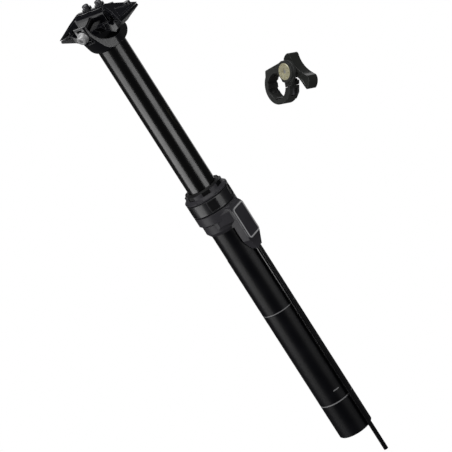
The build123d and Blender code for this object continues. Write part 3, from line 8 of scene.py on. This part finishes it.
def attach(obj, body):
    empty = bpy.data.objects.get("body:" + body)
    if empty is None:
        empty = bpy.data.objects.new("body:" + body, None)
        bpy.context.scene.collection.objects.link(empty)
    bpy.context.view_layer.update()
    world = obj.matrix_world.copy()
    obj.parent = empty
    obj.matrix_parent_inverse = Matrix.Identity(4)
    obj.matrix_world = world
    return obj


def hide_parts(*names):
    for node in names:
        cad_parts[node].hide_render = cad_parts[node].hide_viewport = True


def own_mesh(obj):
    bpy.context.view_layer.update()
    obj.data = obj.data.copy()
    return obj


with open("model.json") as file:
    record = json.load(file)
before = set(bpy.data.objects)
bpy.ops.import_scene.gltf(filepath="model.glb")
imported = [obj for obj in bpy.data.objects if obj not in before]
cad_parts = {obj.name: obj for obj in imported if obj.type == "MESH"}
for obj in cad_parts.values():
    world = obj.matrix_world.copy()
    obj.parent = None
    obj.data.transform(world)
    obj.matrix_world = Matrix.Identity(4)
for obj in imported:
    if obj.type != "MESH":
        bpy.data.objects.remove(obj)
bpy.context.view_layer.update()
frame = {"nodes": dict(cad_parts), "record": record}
nodes = frame["nodes"]

# Camera. It aims at the post's axis, at the height from which the CAD source measures the collar,
# and it is rolled so that the post leans left in the picture.
AZIMUTH = math.radians(45.0)
ELEVATION = math.radians(16.5)
LEAN = math.radians(32.57)
DISTANCE = 3.0
LENS = 283.6
SENSOR_WIDTH = 36.0
CLIP_END = 50.0
COLLAR_Z = 0.027
SIDE_SHIFT = -0.00082

back = Vector((math.cos(ELEVATION) * math.sin(AZIMUTH),
               -math.cos(ELEVATION) * math.cos(AZIMUTH),
               math.sin(ELEVATION)))
level = Vector((math.cos(AZIMUTH), math.sin(AZIMUTH), 0.0))
upright = back.cross(level)
image_right = level * math.cos(LEAN) - upright * math.sin(LEAN)
image_up = level * math.sin(LEAN) + upright * math.cos(LEAN)
aim = Vector((0.0, 0.0, COLLAR_Z)) + level * SIDE_SHIFT

camera_data = bpy.data.cameras.new("camera")
camera_data.lens = LENS
camera_data.sensor_width = SENSOR_WIDTH
camera_data.clip_end = CLIP_END
camera = bpy.data.objects.new("camera", camera_data)
bpy.context.scene.collection.objects.link(camera)
turn = Matrix((image_right, image_up, back)).transposed().to_4x4()
camera.matrix_world = Matrix.Translation(aim + back * DISTANCE) @ turn
bpy.context.scene.camera = camera
bpy.context.scene.view_settings.view_transform = "Standard"

# Cable housing: one straight run down from its ferrule, as in the CAD source
CABLE_X = 0.0189
CABLE_Y = -0.0016
CABLE_TOP = 0.001
HOUSING_LENGTH = 0.2146
HOUSING_DIAMETER = 0.004
ROUTE_SHARES = (0.0, 0.15, 0.4, 0.7, 1.0)
CURVE_ORDER = 3
CURVE_STEPS = 12
BEVEL_STEPS = 8


def curve_object(name, points, radius):
    """An open NURBS curve, round in section and closed at both ends.

    Its bevel is 1 m deep, and the radius of each point scales it.
    """
    data = bpy.data.curves.new(name, "CURVE")
    data.dimensions = "3D"
    data.bevel_depth = 1.0
    data.bevel_resolution = BEVEL_STEPS
    data.use_fill_caps = True
    spline = data.splines.new("NURBS")
    spline.points.add(len(points) - 1)
    for point, place in zip(spline.points, points):
        point.co = (*place, 1.0)
        point.radius = radius
    spline.order_u = CURVE_ORDER
    spline.use_endpoint_u = True
    spline.resolution_u = CURVE_STEPS
    piece = bpy.data.objects.new(name, data)
    bpy.context.scene.collection.objects.link(piece)
    return piece


route = [(CABLE_X, CABLE_Y, CABLE_TOP - HOUSING_LENGTH * share) for share in ROUTE_SHARES]
housing = curve_object("housing_sheath", route, HOUSING_DIAMETER / 2)
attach(housing, "outer_post")
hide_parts("cable_housing")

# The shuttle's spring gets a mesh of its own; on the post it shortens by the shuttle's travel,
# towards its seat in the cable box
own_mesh(nodes["shuttle_spring"])

# Finishes. Noise runs from 0 to 1, and a band is the part of it that a finish uses.
MOTTLE_DETAIL = 5.0
FINE_DETAIL = 3.0
SHADE_BAND = (0.3, 0.7)
ROUGH_BAND = (0.25, 0.75)
# Edges are painted paler, partly as wear and partly as a painted highlight where rounded edges
# catch light
WEAR_AND_HIGHLIGHT_BAND = (0.35, 0.6)
WEAR_AND_HIGHLIGHT_FINENESS = 8.0
WEAR_AND_HIGHLIGHT_GAIN = 4.0
WEAR_AND_HIGHLIGHT_LIFT = 0.02
EVEN = (1.0, 1.0, 1.0)
BUMP_HEIGHT = 0.0002
EDGE_SAMPLES = 6
EDGE_COSINES = (0.97, 0.80)

# Prints, and painted shade in the ring notches and on the bolt's shank, at their places in the
# frame
TUBE_LINES = ((-0.0578, 0.0007), (-0.154, 0.0010))  # height and width of each ring line
TICK_HEIGHT = -0.1434
TICK_WIDTH = 0.0009
TICK_REACH = (-0.0108, -0.0059)  # its two ends in Y
COVER_MIDDLE = (-0.0016, 0.02815)  # in Y and Z
OUTLINE_HALF = (0.0079, 0.0151)  # half of its size in Y and Z
OUTLINE_CORNER = 0.0028
OUTLINE_WIDTH = 0.0013
TILT_AXIS_Z = 0.2404
# The bolt's shank inside this arc is painted black as painted shade
WASHER_ARC = 0.0236  # radius round the tilt axis
LOCK_NOTCH = (0.0480, 0.0595, 0.0192)  # low, high, and a radius just past the floor
CASTLE_NOTCH = (0.0636, 0.0675, 0.0172)
# Black painted shade for the ring notches and the bolt's shank
PAINTED_SHADE_BLACK = (0.002, 0.002, 0.003)
PRINT_WHITE = (0.78, 0.78, 0.79)
PRINT_GREY = (0.42, 0.42, 0.43)


class Nodes:
    """A material's node tree, with short ways to add and join its nodes."""

    def __init__(self, name):
        self.material = bpy.data.materials.new(name)
        self.material.use_nodes = True
        self.tree = self.material.node_tree
        self.shader = self.tree.nodes["Principled BSDF"]
        self.place = self.add("ShaderNodeTexCoord").outputs["Object"]

    def add(self, kind, **values):
        node = self.tree.nodes.new(kind)
        for key, value in values.items():
            setattr(node, key, value)
        return node

    def join(self, source, target):
        """Link a socket to the target, or set the target to a plain value."""
        if isinstance(source, bpy.types.NodeSocket):
            self.tree.links.new(source, target)
        else:
            target.default_value = source

    def maths(self, operation, *values):
        node = self.add("ShaderNodeMath", operation=operation)
        for socket, value in zip(node.inputs, values):
            self.join(value, socket)
        return node.outputs[0]

    def noise(self, scale, detail=FINE_DETAIL, stretch=EVEN):
        shape = self.add("ShaderNodeMapping")
        shape.inputs["Scale"].default_value = stretch
        self.join(self.place, shape.inputs["Vector"])
        node = self.add("ShaderNodeTexNoise")
        node.inputs["Scale"].default_value = scale
        node.inputs["Detail"].default_value = detail
        self.join(shape.outputs["Vector"], node.inputs["Vector"])
        return node.outputs["Fac"]

    def between(self, value, band, into=(0.0, 1.0)):
        """Carry a value from a band of numbers into another, and hold it at the ends."""
        node = self.add("ShaderNodeMapRange")
        for key, number in zip(("From Min", "From Max", "To Min", "To Max"), (*band, *into)):
            node.inputs[key].default_value = number
        self.join(value, node.inputs["Value"])
        return node.outputs["Result"]

    def blend(self, share, first, second):
        """The first colour where the share is 0, and the second where it is 1."""
        node = self.add("ShaderNodeMix", data_type="RGBA")
        sockets = {socket.identifier: socket for socket in node.inputs}
        self.join(share, sockets["Factor_Float"])
        for value, target in ((first, sockets["A_Color"]), (second, sockets["B_Color"])):
            is_socket = isinstance(value, bpy.types.NodeSocket)
            self.join(value if is_socket else (*value, 1.0), target)
        return {socket.identifier: socket for socket in node.outputs}["Result_Color"]

    def axis(self, index):
        split = self.add("ShaderNodeSeparateXYZ")
        self.join(self.place, split.inputs["Vector"])
        return split.outputs[index]

    def distance(self, first, second):
        squares = [self.maths("POWER", value, 2.0) for value in (first, second)]
        return self.maths("SQRT", self.maths("ADD", *squares))

    def near(self, value, middle, width):
        """1 where a value is less than half a width away from a middle."""
        gap = self.maths("ABSOLUTE", self.maths("SUBTRACT", value, middle))
        return self.maths("LESS_THAN", gap, width / 2)

    def inside(self, value, low, high):
        """1 where a value is more than low and less than high."""
        above = self.maths("GREATER_THAN", value, low)
        return self.maths("MULTIPLY", above, self.maths("LESS_THAN", value, high))


def edge_mask(made, radius):
    """1 along edges and 0 on open faces, and the rounded normal that shows it."""
    bevel = made.add("ShaderNodeBevel", samples=EDGE_SAMPLES)
    bevel.inputs["Radius"].default_value = radius
    flat = made.add("ShaderNodeNewGeometry")
    dot = made.add("ShaderNodeVectorMath", operation="DOT_PRODUCT")
    made.join(bevel.outputs["Normal"], dot.inputs[0])
    made.join(flat.outputs["True Normal"], dot.inputs[1])
    return made.between(dot.outputs["Value"], EDGE_COSINES), bevel.outputs["Normal"]


def material(name, colour, roughness, metallic=0.0, coat=0.0, coat_roughness=0.05, specular=0.5,
             tone=0.2, tone_scale=60.0, grain=0.0, grain_scale=600.0, grain_stretch=EVEN,
             rough_spread=0.2, edge=0.0, edge_wear_and_highlight_colour=None, edge_wear_and_highlight_share=0.5, anisotropic=0.0,
             prints_and_shade=None):
    """A shader with mottled colour and roughness.

    It can have a fine bump, rounded edges painted paler as wear and as a painted highlight, and
    prints or painted shade.
    """
    made = Nodes(name)
    shader = made.shader
    shader.inputs["Metallic"].default_value = metallic
    shader.inputs["Coat Weight"].default_value = coat
    shader.inputs["Coat Roughness"].default_value = coat_roughness
    shader.inputs["Specular IOR Level"].default_value = specular
    shader.inputs["Anisotropic"].default_value = anisotropic
    mottle = made.noise(tone_scale, MOTTLE_DETAIL)
    darker = [c * (1.0 - tone) for c in colour]
    paler = [min(1.0, c * (1.0 + tone)) for c in colour]
    paint = made.blend(made.between(mottle, SHADE_BAND), darker, paler)
    rough = made.between(mottle, ROUGH_BAND,
                         (roughness * (1.0 - rough_spread), roughness * (1.0 + rough_spread)))
    normal = None
    if edge:
        mask, normal = edge_mask(made, edge)
        patches = made.between(made.noise(tone_scale * WEAR_AND_HIGHLIGHT_FINENESS), WEAR_AND_HIGHLIGHT_BAND)
        # Paler edges: partly wear, partly a painted highlight standing in for light caught on the
        # edges
        wear_and_highlight = made.maths("MULTIPLY", made.maths("MULTIPLY", mask, patches), edge_wear_and_highlight_share)
        wear_and_highlight_colour = edge_wear_and_highlight_colour or [min(1.0, c * WEAR_AND_HIGHLIGHT_GAIN + WEAR_AND_HIGHLIGHT_LIFT) for c in colour]
        paint = made.blend(wear_and_highlight, paint, wear_and_highlight_colour)
    # Prints, or painted shade in notches and on a bolt's shank
    if prints_and_shade:
        paint = prints_and_shade(made, paint)
    made.join(paint, shader.inputs["Base Color"])
    made.join(rough, shader.inputs["Roughness"])
    if grain:
        bump = made.add("ShaderNodeBump")
        bump.inputs["Strength"].default_value = grain
        bump.inputs["Distance"].default_value = BUMP_HEIGHT
        made.join(made.noise(grain_scale, stretch=grain_stretch), bump.inputs["Height"])
        if normal:
            made.join(normal, bump.inputs["Normal"])
        normal = bump.outputs["Normal"]
    if normal:
        made.join(normal, shader.inputs["Normal"])
    return made.material


def tube_prints(made, paint):
    """Thin grey ring lines round the lower tube, and a short tick above the lower one."""
    height = made.axis(2)
    for line_height, width in TUBE_LINES:
        paint = made.blend(made.near(height, line_height, width), paint, PRINT_GREY)
    tick = made.near(height, TICK_HEIGHT, TICK_WIDTH)
    tick = made.maths("MULTIPLY", tick, made.inside(made.axis(1), *TICK_REACH))
    tick = made.maths("MULTIPLY", tick, made.maths("GREATER_THAN", made.axis(0), 0.0))
    return made.blend(tick, paint, PRINT_GREY)


def notch_painted_shade(made, paint, notch):
    """Painted shade: black on the floor of a ring's notches, between two heights and inside a
    radius.
    """
    low, high, radius = notch
    from_post = made.distance(made.axis(0), made.axis(1))
    floor = made.maths("LESS_THAN", from_post, radius)
    floor = made.maths("MULTIPLY", floor, made.inside(made.axis(2), low, high))
    return made.blend(floor, paint, PAINTED_SHADE_BLACK)


def band_painted_shade(made, paint):
    """Painted shade: black notch floors between the lock ring's panels."""
    return notch_painted_shade(made, paint, LOCK_NOTCH)


def castle_painted_shade(made, paint):
    """Painted shade: black notch floors between the castle ring's blocks."""
    return notch_painted_shade(made, paint, CASTLE_NOTCH)


def bolt_painted_shade(made, paint):
    """Painted shade: black on a bright bolt's shank, nearer the tilt axis than its washer, where
    it sits in the clamp.
    """
    above_axis = made.maths("SUBTRACT", made.axis(2), TILT_AXIS_Z)
    from_axis = made.distance(made.axis(1), above_axis)
    return made.blend(made.maths("LESS_THAN", from_axis, WASHER_ARC), paint, PAINTED_SHADE_BLACK)


def cover_prints(made, paint):
    """A white rounded outline near the edge of the cover's outer face."""
    past = []
    for index, middle, half in zip((1, 2), COVER_MIDDLE, OUTLINE_HALF):
        away = made.maths("ABSOLUTE", made.maths("SUBTRACT", made.axis(index), middle))
        past.append(made.maths("SUBTRACT", away, half - OUTLINE_CORNER))
    corner = made.distance(*[made.maths("MAXIMUM", value, 0.0) for value in past])
    core = made.maths("MINIMUM", made.maths("MAXIMUM", *past), 0.0)
    depth = made.maths("SUBTRACT", made.maths("ADD", corner, core), OUTLINE_CORNER)
    line = made.near(depth, -OUTLINE_WIDTH / 2, OUTLINE_WIDTH)
    return made.blend(line, paint, PRINT_WHITE)


# Edge colours here and below are paler: partly wear, partly a painted highlight along the edges
COLLAR_BLACK = dict(colour=(0.055, 0.053, 0.061), roughness=0.42, specular=0.35, grain=0.1,
                    edge=0.0006, edge_wear_and_highlight_colour=(0.22, 0.22, 0.23), edge_wear_and_highlight_share=0.8)
BRIGHT_STEEL = dict(colour=(0.85, 0.85, 0.87), roughness=0.28, metallic=0.5, anisotropic=0.3,
                    grain=0.05, edge=0.0004, edge_wear_and_highlight_colour=(0.95, 0.95, 0.97))
# The castle ring and the rear tilt bolt get black painted shade; the cover gets its printed
# outline
OWN_MATERIALS = {
    "actuator_cover": material("cover_print", (0.060, 0.058, 0.068), 0.34, coat=0.1, grain=0.1,
                               edge=0.0004, prints_and_shade=cover_prints),
    "castle_ring": material("castle_notch_shade", prints_and_shade=castle_painted_shade, **COLLAR_BLACK),
    "rear_tilt_bolt": material("bolt_shank_shade", prints_and_shade=bolt_painted_shade, **BRIGHT_STEEL),
}
MATERIALS = {
    "black_tube": material("black_tube", (0.004, 0.004, 0.006), 0.34, specular=0.3, grain=0.05,
                           rough_spread=0.12, prints_and_shade=tube_prints),
    "stanchion_black": material("stanchion_black", (0.0015, 0.0015, 0.002), 0.23, coat=0.4,
                                coat_roughness=0.2, grain=0.02, grain_scale=900.0,
                                grain_stretch=(1.0, 1.0, 0.03)),
    "forged_black": material("forged_black", (0.006, 0.006, 0.009), 0.20, coat=0.5,
                             coat_roughness=0.12, grain=0.05, edge=0.0009,
                             edge_wear_and_highlight_colour=(0.20, 0.20, 0.22), edge_wear_and_highlight_share=0.9),
    "collar_black": material("collar_black", **COLLAR_BLACK),
    # The lock ring's notch floors are painted black in this finish as painted shade
    "gloss_band": material("gloss_band", (0.016, 0.016, 0.019), 0.34, coat=0.3,
                           coat_roughness=0.2, edge=0.0006, edge_wear_and_highlight_colour=(0.25, 0.25, 0.26),
                           edge_wear_and_highlight_share=0.8, prints_and_shade=band_painted_shade),
    "rubber": material("rubber", (0.012, 0.012, 0.013), 0.6, grain=0.1, edge=0.0004),
    "foam": material("foam", (0.03, 0.03, 0.03), 0.95, grain=0.6, grain_scale=1500.0),
    "bush": material("bush", (0.1, 0.1, 0.1), 0.5, grain=0.1),
    "black_plastic": material("black_plastic", (0.016, 0.016, 0.018), 0.38, grain=0.15,
                              edge=0.0003),
    "steel": material("steel", **BRIGHT_STEEL),
    "black_steel": material("black_steel", (0.14, 0.14, 0.15), 0.32, metallic=0.4, grain=0.05,
                            edge=0.0004),
    "alloy": material("alloy", (0.6, 0.6, 0.61), 0.35, metallic=1.0, anisotropic=0.3,
                      grain=0.05),
    "gold": material("gold", (0.90, 0.82, 0.56), 0.34, metallic=0.2, grain=0.04, edge=0.0003,
                     edge_wear_and_highlight_colour=(0.95, 0.90, 0.70)),
    "housing": material("housing", (0.003, 0.003, 0.004), 0.16, coat=0.6, coat_roughness=0.1,
                        grain=0.02),
    "lever": material("lever", (0.035, 0.037, 0.034), 0.24, coat=0.6, coat_roughness=0.1,
                      edge=0.0008, edge_wear_and_highlight_colour=(0.30, 0.31, 0.30), edge_wear_and_highlight_share=0.5),
    "remote_black": material("remote_black", (0.055, 0.057, 0.055), 0.36, coat=0.2,
                             coat_roughness=0.25, grain=0.1, edge=0.0006,
                             edge_wear_and_highlight_colour=(0.30, 0.31, 0.30), edge_wear_and_highlight_share=0.6),
}
for part in frame["record"]["subparts"]:
    mesh = nodes[part["node"]].data
    mesh.materials.clear()
    mesh.materials.append(OWN_MATERIALS.get(part["node"], MATERIALS[part["material_slot"]]))
housing.data.materials.append(MATERIALS["housing"])

# World: white to the camera, and a dim plain surround for everything else
AMBIENT = 0.04
WHITE = 1.0
world = bpy.data.worlds.new("world")
bpy.context.scene.world = world
world.use_nodes = True
tree = world.node_tree
tree.nodes.clear()
out = tree.nodes.new("ShaderNodeOutputWorld")
mix = tree.nodes.new("ShaderNodeMixShader")
rays = tree.nodes.new("ShaderNodeLightPath")
tree.links.new(rays.outputs["Is Camera Ray"], mix.inputs["Fac"])
for strength, socket in zip((AMBIENT, WHITE), mix.inputs[1:]):
    background = tree.nodes.new("ShaderNodeBackground")
    background.inputs["Color"].default_value = (1.0, 1.0, 1.0, 1.0)
    background.inputs["Strength"].default_value = strength
    tree.links.new(background.outputs["Background"], socket)
tree.links.new(mix.outputs["Shader"], out.inputs["Surface"])

# Lamps: upright panels round the post that face its axis, and one panel overhead. Bearings are in
# degrees round the post from the camera, and half angles are half of a panel's width in degrees.
LEFT_BEARING = -74.0
RIGHT_BEARING = 37.0
REAR_BEARING = 170.0
LEFT_HALF_ANGLE = 23.0
RIGHT_HALF_ANGLE = 18.0
REAR_HALF_ANGLE = 25.0
SIDE_AWAY = 1.5
REAR_AWAY = 2.0
SIDE_SPLIT_Z = -0.155
SIDE_TOP_Z = 1.1
TOP_FORWARD = 0.3
TOP_Z = 1.6
TOP_SIZE = 1.2
TOP_RADIANCE = 2.2
PANELS = {
    "left_panel": dict(bearing=LEFT_BEARING, away=SIDE_AWAY, low=-0.52, high=SIDE_SPLIT_Z,
                       half_angle=LEFT_HALF_ANGLE, radiance=3.4),
    "right_panel": dict(bearing=RIGHT_BEARING, away=SIDE_AWAY, low=-0.40, high=SIDE_SPLIT_Z,
                        half_angle=RIGHT_HALF_ANGLE, radiance=3.8),
    "upper_left_panel": dict(bearing=LEFT_BEARING, away=SIDE_AWAY, low=SIDE_SPLIT_Z,
                             high=SIDE_TOP_Z, half_angle=LEFT_HALF_ANGLE, radiance=1.0),
    "upper_right_panel": dict(bearing=RIGHT_BEARING, away=SIDE_AWAY, low=SIDE_SPLIT_Z,
                              high=SIDE_TOP_Z, half_angle=RIGHT_HALF_ANGLE, radiance=0.6),
    "rear_panel": dict(bearing=REAR_BEARING, away=REAR_AWAY, low=-0.6, high=1.0,
                       half_angle=REAR_HALF_ANGLE, radiance=0.6),
}
forward = Vector((back.x, back.y, 0.0)).normalized()


def area_lamp(name, width, height, radiance, placing):
    """A rectangular lamp with an even radiance over its face."""
    data = bpy.data.lights.new(name, "AREA")
    data.shape = "RECTANGLE"
    data.size = width
    data.size_y = height
    data.energy = radiance * math.pi * width * height
    lamp = bpy.data.objects.new(name, data)
    bpy.context.scene.collection.objects.link(lamp)
    lamp.matrix_world = placing


def panel(name, bearing, away, low, high, half_angle, radiance):
    """An upright lamp that faces the post's axis from a bearing, between two heights."""
    angle = math.radians(bearing)
    way = forward * math.cos(angle) + level * math.sin(angle)
    place = way * away + Vector((0.0, 0.0, (low + high) / 2))
    facing = (-way).to_track_quat("-Z", "Y").to_matrix().to_4x4()
    width = 2.0 * away * math.tan(math.radians(half_angle))
    area_lamp(name, width, high - low, radiance, Matrix.Translation(place) @ facing)


for panel_name, values in PANELS.items():
    panel(panel_name, **values)
area_lamp("top_panel", TOP_SIZE, TOP_SIZE, TOP_RADIANCE,
          Matrix.Translation(forward * TOP_FORWARD + Vector((0.0, 0.0, TOP_Z))))
